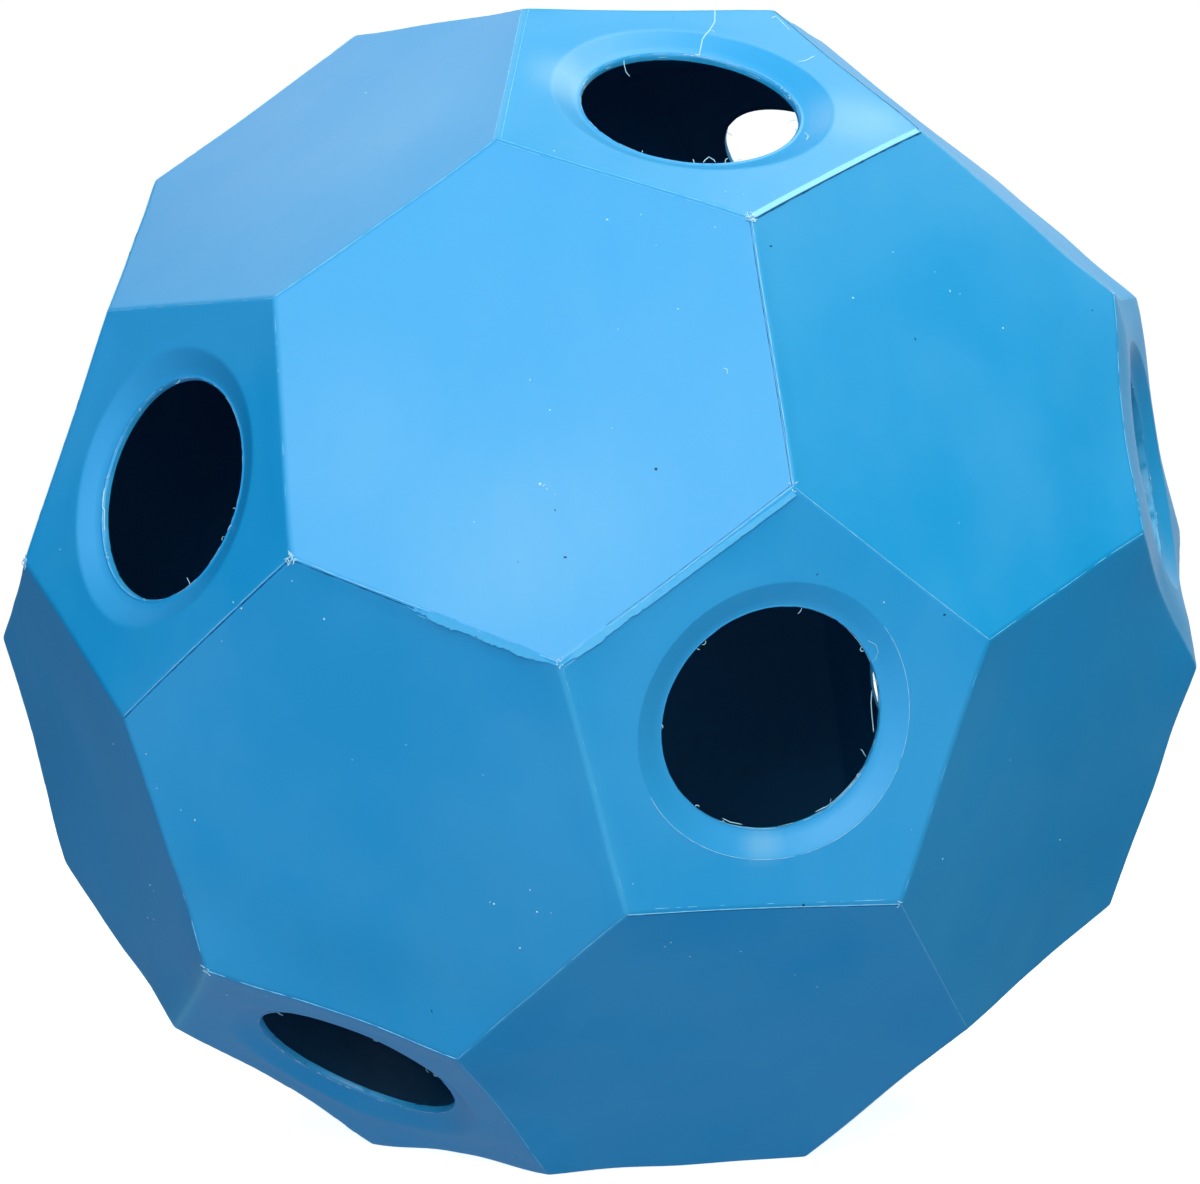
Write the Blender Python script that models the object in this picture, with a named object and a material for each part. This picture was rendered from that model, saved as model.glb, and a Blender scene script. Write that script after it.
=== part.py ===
"""Hay ball: a hollow football-shaped feeder of two moulded half shells with twelve dished mouths.

Metres, +Z up. The ball stands on one of its six-sided faces, with that face's middle at the origin. Each
half shell has a mouth at its pole. The line through both poles, the moulds' axis, leans in the XZ plane:
the upper half's pole is on the -X side and the lower half's on the +X side. The halves meet along a zigzag
that follows the edges of the faces.
"""
import math

import bmesh
import bpy
from mathutils import Matrix, Vector

# Driving sizes
WIDTH_ACROSS_CORNERS = 0.400
WALL = 0.0045
EDGE_ROUNDING = 0.0014
MOUTH_DIAMETER = 0.0664
MOUTH_LEDGE = 0.0014
DISH_SLOPE_WIDTH = 0.0068
DISH_DEPTH = 0.0042
SEAM_GAP = 0.0003

# Counts
MOUTH_SIDES = 40
ROUNDING_STEPS = 2
PENTAGON_SIDES = 5

# A corner of the ball divides an edge of the icosahedron in three
CUT_SHARE_PERCENT = 100 / 3
CORNER_TO_ICOSAHEDRON = 1 / math.sqrt(5 / 9 + 4 / (9 * math.sqrt(5)))

# Satin blue polyethylene, linear colour
UPPER_COLOUR = (0.040, 0.330, 0.745, 1.0)
LOWER_COLOUR = (0.032, 0.270, 0.640, 1.0)
SATIN_ROUGHNESS = 0.38
FLAT_SHADING_ANGLE = math.radians(12)


def clear_scene():
    """Remove every object that is in the file."""
    for obj in list(bpy.data.objects):
        bpy.data.objects.remove(obj, do_unlink=True)


def bearing(point):
    """Angle of a point round Z, from +X."""
    return math.atan2(point.y, point.x)


def sharp_ball(width):
    """Closed football shape with flat faces and sharp edges, standing on a hexagon, centred on its middle."""
    ball = bmesh.new()
    bmesh.ops.create_icosphere(ball, subdivisions=1, radius=width / 2 * CORNER_TO_ICOSAHEDRON)
    ball.normal_update()
    ball.faces.ensure_lookup_table()
    stand_up = ball.faces[0].normal.rotation_difference(Vector((0, 0, -1)))
    bmesh.ops.rotate(ball, cent=(0, 0, 0), matrix=stand_up.to_matrix(), verts=ball.verts)
    upper_pole = max(ball.verts, key=lambda vert: vert.co.z).co
    turn = Matrix.Rotation(math.pi - bearing(upper_pole), 3, 'Z')
    bmesh.ops.rotate(ball, cent=(0, 0, 0), matrix=turn, verts=ball.verts)
    bmesh.ops.bevel(
        ball, geom=ball.verts[:], offset=CUT_SHARE_PERCENT, offset_type='PERCENT',
        affect='VERTICES', segments=1, profile=0.5)
    ball.normal_update()
    return ball


def pentagons(ball):
    """The five-sided faces, which the mouths go through."""
    return [face for face in ball.faces if len(face.verts) == PENTAGON_SIDES]


def round_edges(ball):
    """Round the edges and corners, with the middle line of each rounding along its edge."""
    bmesh.ops.bevel(
        ball, geom=ball.edges[:] + ball.verts[:], offset=EDGE_ROUNDING, offset_type='OFFSET',
        affect='EDGES', segments=ROUNDING_STEPS, profile=0.5, loop_slide=False)
    ball.normal_update()


def mouth_profile(inward):
    """Radius and depth of a mouth's rings, from the dish's rim to the cut edge.

    Inward is how far the skin lies inside the outer one. The dish's cone moves by it square to itself.
    """
    mouth = MOUTH_DIAMETER / 2
    slope = math.atan2(DISH_DEPTH, DISH_SLOPE_WIDTH)
    spread = inward * math.tan(slope / 2)
    foot = mouth + MOUTH_LEDGE + spread
    return [(foot + DISH_SLOPE_WIDTH, 0.0), (foot, DISH_DEPTH), (mouth, DISH_DEPTH)]


def open_mouth(shell, pentagon, rings):
    """Put a flat collar, a conical dish and a ledge in a five-sided face's place, and return the mouth's edges."""
    middle = pentagon.calc_center_median()
    outward = middle.normalized()
    to_corner = (pentagon.verts[0].co - middle).normalized()
    turned = Matrix((to_corner, outward.cross(to_corner), outward)).transposed()
    border = pentagon.edges[:]
    bmesh.ops.delete(shell, geom=[pentagon], context='FACES_ONLY')
    circle = bmesh.ops.create_circle(
        shell, cap_ends=False, segments=MOUTH_SIDES, radius=rings[0][0],
        matrix=Matrix.Translation(middle) @ turned.to_4x4())
    ring = list({edge for vert in circle['verts'] for edge in vert.link_edges})
    bmesh.ops.triangle_fill(shell, use_beauty=True, edges=border + ring, normal=outward)
    for (radius, depth), (next_radius, next_depth) in zip(rings, rings[1:]):
        made = bmesh.ops.extrude_edge_only(shell, edges=ring)['geom']
        ring = [part for part in made if isinstance(part, bmesh.types.BMEdge) and part.is_boundary]
        for corner in {vert for edge in ring for vert in edge.verts}:
            across = corner.co - middle + outward * depth
            corner.co = middle + across * (next_radius / radius) - outward * next_depth
    return ring


def face_under(point, middles):
    """Number of the flat face that a line from the ball's middle through the point goes out of."""
    return max(range(len(middles)), key=lambda i: point.dot(middles[i]) / middles[i].length_squared)


def faces_of_upper_half(ball):
    """Numbers of the upper half's faces: the half of them that lie nearest to its pole, which leans to -X."""
    middles = [face.calc_center_median() for face in ball.faces]
    ways = [face.calc_center_median().normalized() for face in pentagons(ball)]
    pole = max(ways, key=lambda way: way.z - way.x)
    nearest_first = sorted(range(len(middles)), key=lambda i: -middles[i].normalized().dot(pole))
    return set(nearest_first[:len(middles) // 2]), middles


def draw_back_seam(half):
    """Move the seam's edges into the half by half of the gap, square to the seam's own faces."""
    inward = {}
    for edge in half.edges:
        if edge.is_boundary:
            first, second = edge.verts
            square = first.co.cross(second.co).normalized()
            beside = edge.link_faces[0].calc_center_median() - first.co
            if square.dot(beside) < 0:
                square.negate()
            for vert in edge.verts:
                inward.setdefault(vert, []).append(square)
    for vert, (one, other) in inward.items():
        vert.co += (one + other) * (SEAM_GAP / 2 / (1 + one.dot(other)))


def half_skin(width, is_upper):
    """One skin of one half, with rounded edges and no mouths yet, drawn back from the seam."""
    skin = sharp_ball(width)
    upper, middles = faces_of_upper_half(skin)
    round_edges(skin)
    others = [
        face for face in skin.faces
        if (face_under(face.calc_center_median(), middles) in upper) != is_upper]
    bmesh.ops.delete(skin, geom=others, context='FACES')
    draw_back_seam(skin)
    return skin


def open_border(shell):
    """The shell's open edges."""
    return [edge for edge in shell.edges if edge.is_boundary]


def middle_of(item):
    """Middle point of a face's or an edge's corners."""
    return sum((vert.co for vert in item.verts), Vector()) / len(item.verts)


def behind(item, others):
    """The one of the inner skin's items that lies behind an item of the outer skin."""
    way = middle_of(item).normalized()
    return max(others, key=lambda other: middle_of(other).normalized().dot(way))


def close_wall(shell, outer_edges, inner_edges):
    """Join two open borders, one on each skin, edge by edge, by a band of faces."""
    for edge in outer_edges:
        bmesh.ops.contextual_create(shell, geom=[edge, behind(edge, inner_edges)])


def walled_half(is_upper):
    """The closed solid of one half: two skins, the seam's faces and the mouths' cut faces."""
    shell = half_skin(WIDTH_ACROSS_CORNERS, is_upper)
    outer_border, outer_pentagons = open_border(shell), pentagons(shell)
    inner = half_skin(WIDTH_ACROSS_CORNERS * (1 - WALL / height_of_middle()), is_upper)
    copy = bpy.data.meshes.new('inner_skin')
    inner.to_mesh(copy)
    inner.free()
    shell.from_mesh(copy)
    bpy.data.meshes.remove(copy)
    inner_border = [edge for edge in open_border(shell) if edge not in outer_border]
    inner_pentagons = [face for face in pentagons(shell) if face not in outer_pentagons]
    close_wall(shell, outer_border, inner_border)
    for outside in outer_pentagons:
        inside = behind(outside, inner_pentagons)
        inner_pentagons.remove(inside)
        outer_ring = open_mouth(shell, outside, mouth_profile(0.0))
        inner_ring = open_mouth(shell, inside, mouth_profile(WALL))
        close_wall(shell, outer_ring, inner_ring)
    bmesh.ops.recalc_face_normals(shell, faces=shell.faces[:])
    return shell


def height_of_middle():
    """Height of the ball's middle above the face that it stands on."""
    ball = sharp_ball(WIDTH_ACROSS_CORNERS)
    height = -min(vert.co.z for vert in ball.verts)
    ball.free()
    return height


def satin_plastic(name, colour):
    """Plain satin plastic in one colour."""
    material = bpy.data.materials.new(name)
    material.use_nodes = True
    shader = material.node_tree.nodes['Principled BSDF']
    shader.inputs['Base Color'].default_value = colour
    shader.inputs['Roughness'].default_value = SATIN_ROUGHNESS
    shader.inputs['Metallic'].default_value = 0.0
    material.diffuse_color = colour
    return material


def add_half_shell(name, is_upper, colour, collection):
    """Make one half shell as an object, standing at its height."""
    half = walled_half(is_upper)
    mesh = bpy.data.meshes.new(name)
    half.to_mesh(mesh)
    half.free()
    mesh.materials.append(satin_plastic(name + '_plastic', colour))
    mesh.shade_smooth()
    mesh.set_sharp_from_angle(angle=FLAT_SHADING_ANGLE)
    shell = bpy.data.objects.new(name, mesh)
    shell.location = (0, 0, height_of_middle())
    collection.objects.link(shell)


def main():
    clear_scene()
    collection = bpy.data.collections.new('hay_ball_feeder')
    bpy.context.scene.collection.children.link(collection)
    add_half_shell('upper_half_shell', True, UPPER_COLOUR, collection)
    add_half_shell('lower_half_shell', False, LOWER_COLOUR, collection)


main()
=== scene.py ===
"""Hay ball: the looks of a hollow football-shaped feeder, moulded in two halves of satin blue polyethylene.

Each five-sided face is a collar round a dished mouth whose edge was cut by hand. The halves meet along a
zigzag of edges, where the mould left lips, beads and crumbs of flash. Metres, +Z up. The ball stands on one
of its six-sided faces, with that face's middle at the origin.
"""

import math
import random

import bmesh
import bpy
import numpy as np
from bpy.props import FloatProperty, FloatVectorProperty, PointerProperty
from bpy.types import Operator, Panel, PropertyGroup
from mathutils import Matrix, Vector, noise
from mathutils.bvhtree import BVHTree


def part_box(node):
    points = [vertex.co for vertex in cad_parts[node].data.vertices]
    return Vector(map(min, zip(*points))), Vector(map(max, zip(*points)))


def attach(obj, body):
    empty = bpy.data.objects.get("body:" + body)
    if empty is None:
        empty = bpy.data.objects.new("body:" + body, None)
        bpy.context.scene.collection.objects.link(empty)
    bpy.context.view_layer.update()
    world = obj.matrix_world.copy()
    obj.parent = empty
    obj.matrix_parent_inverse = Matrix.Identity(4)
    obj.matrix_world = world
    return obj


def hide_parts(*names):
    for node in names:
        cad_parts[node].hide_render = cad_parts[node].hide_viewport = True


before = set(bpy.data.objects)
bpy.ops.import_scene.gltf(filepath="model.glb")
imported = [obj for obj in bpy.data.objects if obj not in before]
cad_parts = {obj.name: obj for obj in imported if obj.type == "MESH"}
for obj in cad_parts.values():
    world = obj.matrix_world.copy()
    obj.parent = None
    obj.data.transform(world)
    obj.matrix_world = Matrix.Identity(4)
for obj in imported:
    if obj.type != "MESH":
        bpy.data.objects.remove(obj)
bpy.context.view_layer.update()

bl_info = {
    "name": "Hay Ball",
    "version": (1, 0, 0),
    "blender": (4, 5, 0),
    "location": "View3D > Sidebar > Hay Ball",
    "description": "Models a moulded hay ball feeder and the studio it stands in",
    "category": "Add Mesh",
}

# A football shape's six-sided faces and its icosahedron's corners, as shares of its own corners' distance
PANEL_SHARE = math.sqrt(1 - 16 / (58 + 18 * math.sqrt(5)))
ICOSAHEDRON_SHARE = 1 / math.sqrt(5 / 9 + 4 / (9 * math.sqrt(5)))
CUT_SHARE_PERCENT = 100 / 3

STANDING_HEIGHT = max(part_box(node)[1].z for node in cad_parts)
MIDDLE = Vector((0, 0, STANDING_HEIGHT / 2))

# Faces by the bearing and rise of their middles, in whole degrees
TOP_COLLAR, FRONT_COLLAR, LEFT_COLLAR = (-60, 53), (-60, -11), (-120, 11)
LOW_LEFT_COLLAR, RIGHT_COLLAR = (-120, -53), (0, 11)
FRONT_PANEL, RIGHT_PANEL, UPPER_LEFT_PANEL = (-82, 19), (-38, 19), (-120, 48)
LOWER_LEFT_PANEL, LOWER_RIGHT_PANEL = (-98, -19), (-22, -19)
FAR_LEFT_PANEL, UNDER_PANEL = (-142, -19), (-60, -48)
BACK_RIGHT_PANEL, BACK_LEFT_PANEL = (0, 48), (180, 19)
UPPER_POLE = (180, 53)

MM = 0.001

# The photograph's frame in pixels, and the camera that it was taken with
PHOTO_SIZE = (1200, 1184)
CAMERA_PLACE = Vector((0.2911, -1.1109, 0.2156))
CAMERA_AIM = Vector((-0.25398, 0.96674, -0.03048))
CAMERA_ROLL = math.radians(-1.1266)
CAMERA_LENS = 102.855
CAMERA_SENSOR = 36.0

# Mesh density
EDGE_PIECES = 16
ROUNDING_STEPS = 4
COLLAR_SIDES = 5
PANEL_SIDES = 6
GRID_SPAN = EDGE_PIECES * 3 // 2

# The sharpest edges that are shaded smooth
MOULDING_SMOOTH = math.radians(40)
SMALL_PIECE_SMOOTH = math.radians(50)


class BallSizes(PropertyGroup):
    """Sizes of the mouldings"""
    wall: FloatProperty(name="Wall", description="Thickness of the plastic", default=0.0045, unit='LENGTH')
    mouth_wall: FloatProperty(
        name="Wall at the mouths", description="Thickness of the plastic where the mouths were cut",
        default=0.0014, unit='LENGTH')
    edge_round: FloatProperty(
        name="Edge rounding", description="How far each edge's rounding reaches", default=0.0011,
        unit='LENGTH')
    mouth: FloatProperty(name="Mouth", description="Width of a mouth", default=0.0664, unit='LENGTH')
    dish_depth: FloatProperty(
        name="Dish depth", description="How deep the usual dish's foot lies", default=0.0041, unit='LENGTH')
    seam_step: FloatProperty(
        name="Seam step", description="How far one half stands proud of the other", default=0.0005,
        unit='LENGTH')


class BallColours(PropertyGroup):
    """Colours of the plastic"""
    plastic: FloatVectorProperty(
        name="Plastic", description="The moulded plastic", size=4, subtype='COLOR', min=0, max=1,
        default=(0.005, 0.312, 0.800, 1.0))
    # Also the colour of the painted highlights along the edges
    stretched: FloatVectorProperty(
        name="Stretched", description="Thin plastic, on the flash and the cut edges", size=4, subtype='COLOR',
        min=0, max=1, default=(0.080, 0.530, 0.960, 1.0))
    # Also the colour that the painted sheen patches blend towards, and that of the rim's painted highlight
    # threads
    chalky: FloatVectorProperty(
        name="Chalky", description="Torn plastic", size=4, subtype='COLOR', min=0, max=1,
        default=(0.480, 0.780, 1.0, 1.0))
    # Painted shade: the inner skin is the same plastic, coloured dark for the shade inside the ball
    inside: FloatVectorProperty(
        name="Inside", description="The inner skin", size=4, subtype='COLOR', min=0, max=1,
        default=(0.004, 0.090, 0.260, 1.0))
    # Painted shadow: the colour of the dark threads along the seam where one half steps past the other
    shadow: FloatVectorProperty(
        name="Shadow", description="The gap where the halves meet", size=4, subtype='COLOR', min=0, max=1,
        default=(0.002, 0.085, 0.280, 1.0))
    grit: FloatVectorProperty(
        name="Grit", description="Dark specks in the plastic", size=4, subtype='COLOR', min=0, max=1,
        default=(0.010, 0.045, 0.070, 1.0))


class StudioLook(PropertyGroup):
    """Light and floor"""
    power: FloatProperty(name="Power", description="Light of all the softboxes", default=49.0, unit='POWER')
    room_seen: FloatProperty(name="Room seen", description="Brightness of the room behind", default=1.07)
    tint: FloatVectorProperty(
        name="Tint", description="Colour of the warm softboxes", size=3, subtype='COLOR', min=0, max=1,
        default=(1.0, 1.0, 0.76))
    floor_glow: FloatProperty(
        name="Floor glow", description="How much the floor is lit from below near the ball", default=0.88)
    floor: FloatVectorProperty(
        name="Floor", description="The floor and the wall behind", size=4, subtype='COLOR', min=0, max=1,
        default=(0.84, 0.85, 0.90, 1.0))


class Wire:
    """A shader socket's value, for sums written with the usual signs."""

    def __init__(self, nodes, socket):
        self.nodes = nodes
        self.socket = socket

    def sum(self, operation, first, second):
        return self.nodes.add('Math', {0: first, 1: second}, operation=operation)

    def __add__(self, other):
        return self.sum('ADD', self, other)

    def __mul__(self, other):
        return self.sum('MULTIPLY', self, other)

    def __gt__(self, other):
        return self.sum('GREATER_THAN', self, other)

    def __lt__(self, other):
        return self.sum('LESS_THAN', self, other)

    __radd__ = __add__
    __rmul__ = __mul__


class Nodes:
    """Adds shader nodes to one tree."""

    def __init__(self, tree):
        self.tree = tree

    def put(self, value, socket):
        if isinstance(value, Wire):
            self.tree.links.new(value.socket, socket)
        else:
            socket.default_value = value

    def add(self, kind, inputs, output=0, **settings):
        node = self.tree.nodes.new('ShaderNode' + kind)
        for name, value in settings.items():
            setattr(node, name, value)
        for name, value in inputs.items():
            self.put(value, node.inputs[name])
        return Wire(self, node.outputs[output])

    def place(self, stretch=(1, 1, 1)):
        spot = self.add('TexCoord', {}, output='Object')
        return self.add('Mapping', {'Vector': spot, 'Scale': stretch})

    def noise(self, scale, detail=2.0, rough=0.5, stretch=(1, 1, 1)):
        sockets = {'Vector': self.place(stretch), 'Scale': scale, 'Detail': detail, 'Roughness': rough}
        return self.add('TexNoise', sockets)

    def cells(self, scale, output):
        return self.add('TexVoronoi', {'Vector': self.place(), 'Scale': scale}, output=output)

    def ramp(self, value, low, high, to_low=0.0, to_high=1.0):
        sockets = {'Value': value, 'From Min': low, 'From Max': high, 'To Min': to_low, 'To Max': to_high}
        return self.add('MapRange', sockets, interpolation_type='SMOOTHSTEP')

    def colour(self, share, first, second):
        return self.add('Mix', {0: share, 6: first, 7: second}, output=2, data_type='RGBA')

    def painted(self, name):
        return self.add('Attribute', {}, output='Fac', attribute_name=name)


class Finish(Nodes):
    """Adds shader nodes to one new material."""

    def __init__(self, name):
        self.material = bpy.data.materials.new(name)
        self.material.use_nodes = True
        super().__init__(self.material.node_tree)

    def finish(self, **sockets):
        for name, value in sockets.items():
            self.put(value, self.tree.nodes['Principled BSDF'].inputs[name.replace('_', ' ')])
        return self.material


def satin_polyethylene(name, colours):
    """Moulded polyethylene: waxy and mottled, with pale crumbs and scuffs, painted sheen in patches and
    painted highlights along its edges.
    """
    nodes = Finish(name)
    painted_edge_highlight, cut, painted_sheen = nodes.painted('painted_edge_highlight'), nodes.painted('cut'), nodes.painted('painted_sheen')
    mottle = nodes.noise(14.0, 3.0, 0.55)
    streaks = nodes.noise(60.0, 3.0, 0.6, stretch=(1.0, 1.0, 0.18))
    grain = nodes.noise(420.0, 3.0, 0.6)
    crumb_size = nodes.cells(210.0, 'Distance')
    crumb_pick = nodes.cells(210.0, 'Color') > 0.955
    crumbs = (crumb_size < 0.085) * crumb_pick
    scuffs = nodes.ramp(nodes.noise(95.0, 6.0, 0.75), 0.66, 0.80) * nodes.ramp(mottle, 0.45, 0.62)
    tint = nodes.ramp(mottle + streaks * 0.35, 0.50, 0.85, 0.0, 0.03)
    paint = nodes.colour(tint, tuple(colours.plastic), tuple(colours.chalky))
    # Painted sheen: the patches, streaked, blend towards the pale colour, plus a little of the real scuffs
    sheen_and_scuffs = painted_sheen * nodes.ramp(streaks, 0.30, 0.70, 0.7, 1.0) + scuffs * 0.06
    # Painted highlight along the edges, plus the real paler thin plastic at the cut mouths
    thin = painted_edge_highlight + cut * nodes.ramp(grain, 0.40, 0.60, 0.12, 0.25)
    paint = nodes.colour(sheen_and_scuffs, paint, tuple(colours.chalky))
    paint = nodes.colour(thin, paint, tuple(colours.stretched))
    paint = nodes.colour(crumbs * 0.65, paint, tuple(colours.chalky))
    rough = nodes.ramp(mottle + grain * 0.3, 0.45, 0.85, 0.34, 0.44) + scuffs * 0.12
    swell = nodes.add('Bump', {'Strength': 0.25, 'Distance': 0.0006, 'Height': nodes.noise(38.0, 2.0)})
    skin = nodes.add('Bump', {'Strength': 0.18, 'Distance': 0.00008, 'Height': grain, 'Normal': swell})
    flecks = nodes.add('Bump', {'Strength': 0.6, 'Distance': 0.0002, 'Height': crumbs, 'Normal': skin})
    return nodes.finish(Base_Color=paint, Roughness=rough, Normal=flecks, IOR=1.5)


def painted_shade_inner_skin(name, colours):
    """The matt skin inside the ball, coloured far darker than the plastic as painted shade for the little
    light that reaches it, with smears of dust.
    """
    nodes = Finish(name)
    smears = nodes.ramp(nodes.noise(30.0, 5.0, 0.65), 0.55, 0.75, 0.0, 0.25)
    paint = nodes.colour(smears, tuple(colours.inside), tuple(colours.grit))
    bump = nodes.add('Bump', {'Strength': 0.5, 'Distance': 0.0005, 'Height': nodes.noise(60.0, 3.0)})
    return nodes.finish(Base_Color=paint, Roughness=0.6 + smears * 0.2, Normal=bump, Specular_IOR_Level=0.15)


def thin_polyethylene(name, colours, thinness, paleness):
    """Flash and burrs, lighter than the walls where the plastic is thin, and pale where it was torn."""
    nodes = Finish(name)
    grain = nodes.noise(700.0, 4.0, 0.6)
    share = nodes.ramp(grain, 0.35, 0.65, paleness * 0.7, paleness)
    thin = [wall + (thin - wall) * thinness for wall, thin in zip(colours.plastic, colours.stretched)]
    paint = nodes.colour(share, thin, tuple(colours.chalky))
    bump = nodes.add('Bump', {'Strength': 0.4, 'Distance': 0.0001, 'Height': grain})
    return nodes.finish(Base_Color=paint, Roughness=nodes.ramp(grain, 0.3, 0.7, 0.35, 0.55), Normal=bump)


def dark_polyethylene(name, first, second):
    """Specks of burnt plastic and dirt, or the painted shadow along the step where the halves meet."""
    nodes = Finish(name)
    grain = nodes.noise(900.0, 2.0)
    paint = nodes.colour(grain, tuple(first), tuple(second))
    rough = nodes.ramp(grain, 0.3, 0.7, 0.4, 0.7)
    return nodes.finish(Base_Color=paint, Roughness=rough, Specular_IOR_Level=0.15)


def studio_paper(name, look):
    """Matt paper for the floor, lit a little from below and fading into the white room."""
    nodes = Finish(name)
    tone = nodes.ramp(nodes.noise(1.5, 2.0), 0.3, 0.7, 0.0, 0.03)
    paint = nodes.colour(tone, tuple(look.floor), (0.7, 0.7, 0.7, 1.0))
    reach = nodes.add('VectorMath', {0: nodes.place()}, output='Value', operation='LENGTH')
    glow = nodes.colour(nodes.ramp(reach, 0.3, 1.4, look.floor_glow, 1.0), (0, 0, 0, 1), (1, 1, 1, 1))
    return nodes.finish(Base_Color=paint, Roughness=0.9, Emission_Color=glow, Emission_Strength=1.0)


def deselect():
    """Leave nothing selected in object mode."""
    bpy.ops.object.select_all(action='DESELECT')


def edit(piece):
    """Open one piece in edit mode, with nothing selected."""
    deselect()
    piece.select_set(True)
    bpy.context.view_layer.objects.active = piece
    bpy.ops.object.mode_set(mode='EDIT')
    bpy.ops.mesh.select_mode(type='FACE')
    bpy.ops.mesh.select_all(action='DESELECT')


def pick_faces(piece, wanted):
    """Select just the faces that pass a test, in edit mode, and return how many they are."""
    bpy.ops.mesh.select_all(action='DESELECT')
    shape = bmesh.from_edit_mesh(piece.data)
    chosen = [face for face in shape.faces if wanted(face)]
    for face in chosen:
        face.select_set(True)
    bmesh.update_edit_mesh(piece.data)
    return len(chosen)


def leave_edit():
    """Back to object mode."""
    bpy.ops.object.mode_set(mode='OBJECT')


def toward(face):
    """Unit vector from the ball's middle to a face given by its bearing and rise."""
    bearing, rise = map(math.radians, face)
    return Vector((math.cos(rise) * math.cos(bearing), math.cos(rise) * math.sin(bearing), math.sin(rise)))


def football():
    """A new sharp-edged football shape about the origin, with one of its six-sided faces down."""
    deselect()
    radius = STANDING_HEIGHT / 2 / PANEL_SHARE
    bpy.ops.mesh.primitive_ico_sphere_add(subdivisions=1, radius=radius * ICOSAHEDRON_SHARE)
    ball = bpy.context.object
    stand_up = ball.data.polygons[0].normal.rotation_difference(Vector((0, 0, -1)))
    ball.data.transform(stand_up.to_matrix().to_4x4())
    pole = max(ball.data.vertices, key=lambda vert: vert.co.z).co
    ball.data.transform(Matrix.Rotation(math.pi - math.atan2(pole.y, pole.x), 4, 'Z'))
    edit(ball)
    bpy.ops.mesh.select_all(action='SELECT')
    bpy.ops.mesh.bevel(offset_type='PERCENT', offset_pct=CUT_SHARE_PERCENT, affect='VERTICES')
    leave_edit()
    return ball


# Corners of the ball in the photograph, in pixels from its top left. The ball cooled a little out of true, so
# each of them is matched to the nearest corner of a true football.
CORNERS_SEEN = (
    (274, 297), (497, 137.5), (525, 8), (774, 10), (920, 129), (751, 217), (793.5, 487), (559, 663),
    (291, 558), (123.5, 718), (24, 562), (107, 310), (155, 180), (355, 35), (990, 640), (901, 904),
    (627, 915), (457, 1060), (206, 970), (174, 1027), (1114, 294), (1144, 533), (1197, 668), (1111, 905),
    (805, 1158), (372, 1142), (65, 862), (3, 638), (1137, 298), (1180, 531), (997, 180),
)

# How far mouths lie from their true places, to the right and up in the photograph, in mm
MOUTH_SHIFTS = {
    TOP_COLLAR: (0.0, 2.3),
    FRONT_COLLAR: (0.3, 0.6),
    LEFT_COLLAR: (-2.0, 0.6),
    LOW_LEFT_COLLAR: (-3.5, -3.5),
}

# How far such a shift reaches, how high above the floor it is whole, and how often a pixel's place is worked
# out again with it
WARP_REACH = 0.055
FLAT_REACH = 0.02
WARP_TRIES = 4


def camera_turn():
    """The camera's turn, whose columns point right, up and back."""
    return CAMERA_AIM.to_track_quat('-Z', 'Y').to_matrix() @ Matrix.Rotation(CAMERA_ROLL, 3, 'Z')


class Photograph:
    """Finds where the ball's places are from their pixels, counted from the photograph's top left."""

    def __init__(self):
        self.right, self.up, back = camera_turn().col
        self.ahead = -back
        self.scale = CAMERA_LENS / CAMERA_SENSOR * PHOTO_SIZE[0]

    def way(self, pixel):
        """The way from the camera through a pixel, as far as one metre ahead."""
        across, down = (at - size / 2 for at, size in zip(pixel, PHOTO_SIZE))
        return self.ahead + (self.right * across - self.up * down) / self.scale

    def shift(self, place, pixel):
        """How far a place has to move, square to the view, to show at a pixel."""
        reach = place - CAMERA_PLACE
        return self.way(pixel) * reach.dot(self.ahead) - reach


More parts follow.
